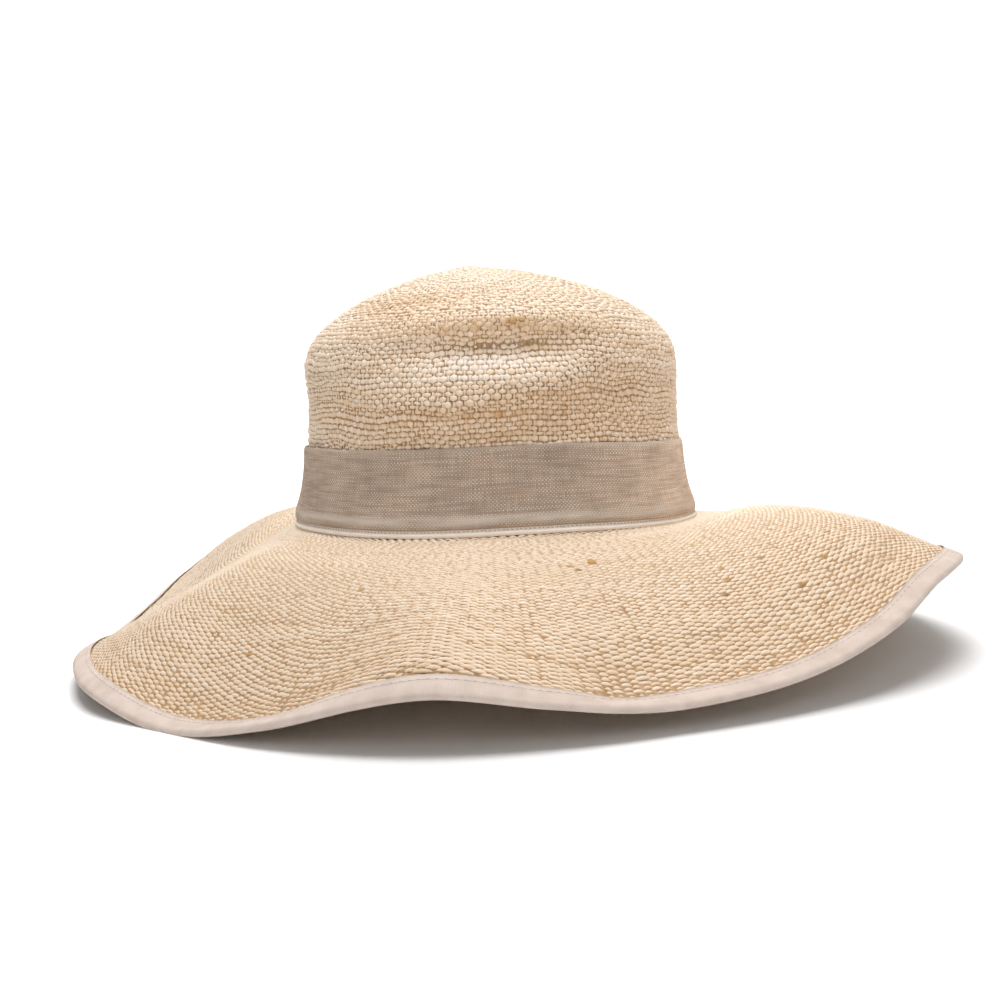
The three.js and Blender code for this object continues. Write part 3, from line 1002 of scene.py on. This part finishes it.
# Piping
# A cord in a cream cotton cover, whose flat flange is sewn behind the band's lower edge with small stitches.
CORD_RADIUS = 1.0
CORD_OUT = 1.75
CORD_HEIGHT = 1.2
CORD_ARC = (70, -135)  # degrees, from above to below, between the two sides of its flange
CORD_POINTS = 10
FLANGE_TOP = 6
PIPING_LENGTH = 582
PIPING_CREAM = (0.93, 0.83, 0.73)
PIPING_SHADE = (0.58, 0.46, 0.35)
cord_arc = np.radians(np.linspace(*CORD_ARC, CORD_POINTS))
PIPING_OUTLINE = table(
    BAND_COLUMNS,
    (0.45, 5),
    (0.5, FLANGE_TOP),
    (1.0, FLANGE_TOP),
    (1.3, 4.2),
    (1.8, 3.3),
    (1.85, 2.5),
    *zip(CORD_OUT + CORD_RADIUS * np.cos(cord_arc), CORD_HEIGHT + CORD_RADIUS * np.sin(cord_arc)),
    (0.4, 2),
    (0.4, 3.5),
)
PUCKERS = 170  # the cover is drawn in between them
PUCKER_LEAN = 9
PUCKER_DRIFT = 1.5
PUCKER_SWELL = 0.035
CORD_UNEVEN = 0.02
pucker_drift = drift(2, PUCKERS * 6, 4)


def piping_place(angle, share):
    out, height, _ = outline(PIPING_OUTLINE, share)
    wander, uneven = read_round(pucker_drift, angle)
    wave = np.sin(np.radians(angle * PUCKERS) + PUCKER_LEAN * share + PUCKER_DRIFT * wander)
    on_cord = height < CORD_HEIGHT + CORD_RADIUS
    swell = np.where(on_cord, 1 + PUCKER_SWELL * wave + CORD_UNEVEN * uneven, 1)
    out = CORD_OUT + (out - CORD_OUT) * swell
    height = np.where(on_cord, CORD_HEIGHT + (height - CORD_HEIGHT) * swell, height)
    return beside_crown(angle, out, height)


def worn_cloth(name, roughness, specular, across, up, colours, cloud_scale, most_worn, darkest_pit_shade, depth):
    """A cloth of one colour that is clouded with its shade."""
    material, tree, shader = new_material(name, roughness, specular)
    cloth_map = uv_map(tree, "cloth")
    threads = threads_on(tree, cloth_map, across, up)
    cloudy = clouds(tree, cloth_map, cloud_scale, detail=3.0)
    worn = ranged(tree, cloudy, (0.38, 0.66), (0.0, most_worn))
    shade = mixed(tree, worn, opaque(colours[0]), opaque(colours[1]))
    tree.links.new(pit_shaded(tree, shade, threads, darkest_pit_shade), shader.inputs["Base Color"])
    relief(tree, shader, threads["Height"], strength=0.5, depth=depth)
    return material


cotton = worn_cloth(
    "piping_cotton",
    roughness=0.85,
    specular=0.2,
    across=0.42,
    up=0.42,
    colours=(PIPING_CREAM, PIPING_SHADE),
    cloud_scale=0.22,
    most_worn=0.12,
    darkest_pit_shade=0.93,
    depth=0.1,
)
piping_outline_length = outline(PIPING_OUTLINE, np.zeros(1))[2]
piping = bent_sheet("piping", 680, 18, piping_place, PIPING_LENGTH, piping_outline_length, both_ways=True)
piping.data.materials.append(cotton)
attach(piping, "root")
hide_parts("band_piping")

# The stitches show as small dark slots, of this length, width and height
STITCH_PITCH = 1.76
STITCH_HEIGHT = 2.75
STITCH_OUT = 1.83
STITCH_ASIDE_JITTER = 0.1
STITCH_UP_JITTER = 0.06
SLOT_SIZE = (1.0, 0.48, 0.16)
PALEST_SLOT = 0.3
HOLE_BROWN = (0.2, 0.12, 0.07)


def toned_material(name, roughness, specular, dark, pale):
    """A material between two colours, by each strand's tone."""
    material, tree, shader = new_material(name, roughness, specular)
    shade = mixed(tree, attribute(tree, "tone"), opaque(dark), opaque(pale))
    tree.links.new(shade, shader.inputs["Base Color"])
    return material


holes = toned_material("needle_holes", roughness=0.9, specular=0.1, dark=HOLE_BROWN, pale=PIPING_SHADE)
stitch_count = int(BAND_LENGTH / STITCH_PITCH)
number = np.arange(stitch_count) + jitter(STITCH_ASIDE_JITTER, stitch_count)
angle = number * TURN / stitch_count
drop = FOOT_DROP - (STITCH_HEIGHT + jitter(STITCH_UP_JITTER, stitch_count)) / FOOT_SLOPE
centre, around_it, outwards, off = lie_of(crown_outside, angle, drop, DROP_STEP)
piping_stitches = strands(
    "piping_stitches",
    plain_bead,
    (centre + off * STITCH_OUT, around_it, outwards, off),
    *SLOT_SIZE,
    dip=0.0,
    tone=PALEST_SLOT * chance.random(stitch_count),
    slant=0.6,
)
piping_stitches.data.materials.append(holes)
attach(piping_stitches, "root")

# Brim binding
# A ribbed cotton tape, folded over the brim's edge and sewn through both its layers a few millimetres in from
# its own edge. The stitches draw it in a little.
TAPE_COVER = 8
STITCH_INSET = 2.2
TAPE_STITCHES = 400
# The upper half of the tape's cross section, outwards from the straw's edge and off its upper side
TAPE_TOP = [
    (0.4, 0.45),
    (-0.6, 0.8),
    (-4, 0.85),
    (-7.7, 0.9),
    (-8.05, 1.05),
    (-8, 1.3),
    (-7.6, 1.42),
    (-5.8, 1.38),
    (-3, 1.5),
    (0, 1.55),
    (1.1, 1.4),
    (1.75, 0.8),
]
TAPE_UNDER = [(along, -across) for along, across in reversed(TAPE_TOP)]
TAPE_OUTLINE = table(("along", "across"), *TAPE_TOP, (2.05, 0), *TAPE_UNDER)
THREAD_PALE = (0.86, 0.79, 0.73)
TAPE_BEIGE = (0.71, 0.592, 0.52)
TAPE_SHADE = (0.52, 0.41, 0.345)
TAPE_LENGTH = 1310
# The stitches press the tape in along their line, and it swells on both sides of it
LINE_REACH = 1.1
LINE_DEPTH = (0.16, 0.1)  # always, and added at each stitch
PUFF_INSIDE = 0.1
PUFF_OUTSIDE = 0.06
OUTER_FACE = 1.15  # only this far off the straw's middle is the tape's shape changed
OWN_EDGE = -7.5
OWN_EDGE_WAVE = 0.12


def edge_lie(angle):
    """The end of the straw's edge inside the tape, with the directions outwards, round it and off it."""
    start_out, end_out = strip_shares(angle)
    end = brim_surface(angle, end_out)
    outwards = unit(end - brim_surface(angle, start_out))
    _, around_it, _, off = lie_of(brim_surface, angle, (start_out + end_out) / 2, OUT_STEP)
    off = unit(off - (off * outwards).sum(axis=1, keepdims=True) * outwards)
    return end, around_it, outwards, off


def tape_place(angle, share):
    along, across, _ = outline(TAPE_OUTLINE, share)
    end, _, outwards, off = edge_lie(angle)
    phase = np.cos(np.radians(angle * TAPE_STITCHES)) * 0.5 + 0.5
    past_line = along + TAPE_COVER - STITCH_INSET
    by_line = np.exp(-((past_line / LINE_REACH) ** 2))
    puffed = np.where(past_line < 0, PUFF_INSIDE, PUFF_OUTSIDE) * phase
    pressed = growing(LINE_DEPTH, phase) * by_line - puffed * (1 - by_line)
    across = across - np.sign(across) * np.where(np.abs(across) > OUTER_FACE, pressed, 0)
    along = along - np.where(along < OWN_EDGE, OWN_EDGE_WAVE * phase, 0)
    points = end + along[:, None] * outwards + across[:, None] * off
    points[:, 2] = np.maximum(points[:, 2], 0)
    return points


tape = worn_cloth(
    "tape",
    roughness=0.82,
    specular=0.22,
    across=0.62,
    up=0.3,
    colours=(TAPE_BEIGE, TAPE_SHADE),
    cloud_scale=0.12,
    most_worn=0.45,
    darkest_pit_shade=0.84,
    depth=0.12,
)
tape_outline_length = outline(TAPE_OUTLINE, np.zeros(1))[2]
stations = 3 * TAPE_STITCHES
binding = bent_sheet("edge_tape", stations, 22, tape_place, TAPE_LENGTH, tape_outline_length, both_ways=True)
binding.data.materials.append(tape)
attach(binding, "root")
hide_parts("brim_binding")

# Each stitch lies between two needle holes, of these lengths, widths and heights
STITCH_SIZE = (2.6, 0.55, 0.24)
HOLE_SIZE = (0.7, 0.5, 0.16)
STITCH_LIFT = 1.2
HOLE_LIFT = 1.22
STITCH_TONE = 0.9
HOLE_TONE = 0.45
thread = toned_material("sewing_thread", roughness=0.7, specular=0.3, dark=HOLE_BROWN, pale=THREAD_PALE)
for name, side in (("tape_stitches", 1), ("tape_stitches_under", -1)):
    number = np.arange(TAPE_STITCHES)
    stitch_angle = SEAM_ANGLE + (number + 0.5) * TURN / TAPE_STITCHES
    hole_angle = SEAM_ANGLE + number * TURN / TAPE_STITCHES
    angle = np.concatenate([stitch_angle, hole_angle])
    is_hole = np.arange(angle.size) >= TAPE_STITCHES
    end, around_it, outwards, off = edge_lie(angle)
    lift = np.where(is_hole, HOLE_LIFT, STITCH_LIFT)
    sizes = (np.where(is_hole, hole, stitch) for hole, stitch in zip(HOLE_SIZE, STITCH_SIZE))
    centre = end - outwards * (TAPE_COVER - STITCH_INSET) + side * off * lift[:, None]
    piece = strands(
        name,
        plain_bead,
        (centre, around_it, side * outwards, side * off),
        *sizes,
        dip=0.05,
        tone=np.where(is_hole, HOLE_TONE, STITCH_TONE),
    )
    piece.data.materials.append(thread)
    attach(piece, "root")

# Floor and light
# White paper that runs up behind the hat in one sweep, and soft light as in a studio: a wide light overhead,
# a weaker one from the front, one for the paper alone, and weak light from all round.
SWEEP_SIZE = 9000
WALL_START = 1800  # how far behind the hat the paper begins to rise
WALL_BEND = 900
PAPER_WHITE = (0.92, 0.92, 0.92)
ROOM_WHITE = (1.0, 0.985, 0.97)
ROOM_STRENGTH = 0.34
sweep_shape = bmesh.new()
bmesh.ops.create_grid(sweep_shape, x_segments=1, y_segments=60, size=0.5)
for vertex in sweep_shape.verts:
    run = vertex.co.y * SWEEP_SIZE
    turned = min(max((run - WALL_START) / WALL_BEND, 0), math.pi / 2)
    risen = max(run - WALL_START - WALL_BEND * math.pi / 2, 0)
    level_run = min(run, WALL_START) + WALL_BEND * math.sin(turned)
    level = WALL_BEND * (1 - math.cos(turned)) + risen
    vertex.co = (vertex.co.x * SWEEP_SIZE * MM, level_run * MM, level * MM)
sweep_mesh = bpy.data.meshes.new("sweep")
sweep_shape.to_mesh(sweep_mesh)
sweep_shape.free()
sweep_mesh.shade_smooth()
sweep = put_in("sweep", sweep_mesh)
paper, tree, shader = new_material("sweep_paper", roughness=0.9, specular=0.1)
shader.inputs["Base Color"].default_value = opaque(PAPER_WHITE)
sweep.data.materials.append(paper)

world = bpy.data.worlds.new("studio")
world.use_nodes = True
background = world.node_tree.nodes["Background"]
background.inputs["Color"].default_value = opaque(ROOM_WHITE)
background.inputs["Strength"].default_value = ROOM_STRENGTH
bpy.context.scene.world = world

LIGHTS = (
    # name, place in metres, aim in metres, size in metres, watts
    ("overhead", (0.05, -0.1, 2.0), (0, 0, 0.1), 1.1, 33.5),
    ("front", (0.5, -2.2, 1.0), (0, 0, 0.1), 1.6, 9.5),
    ("backdrop", (0, 1.6, 2.6), (0, 3.2, 1.0), 2.0, 90),
)
for name, place, aim, size, watts in LIGHTS:
    data = bpy.data.lights.new(name, "AREA")
    data.size = size
    data.energy = watts
    light = put_in(name, data)
    light.location = place
    light.rotation_euler = (Vector(aim) - Vector(place)).to_track_quat("-Z", "Y").to_euler()

bpy.context.scene.view_settings.view_transform = "Standard"
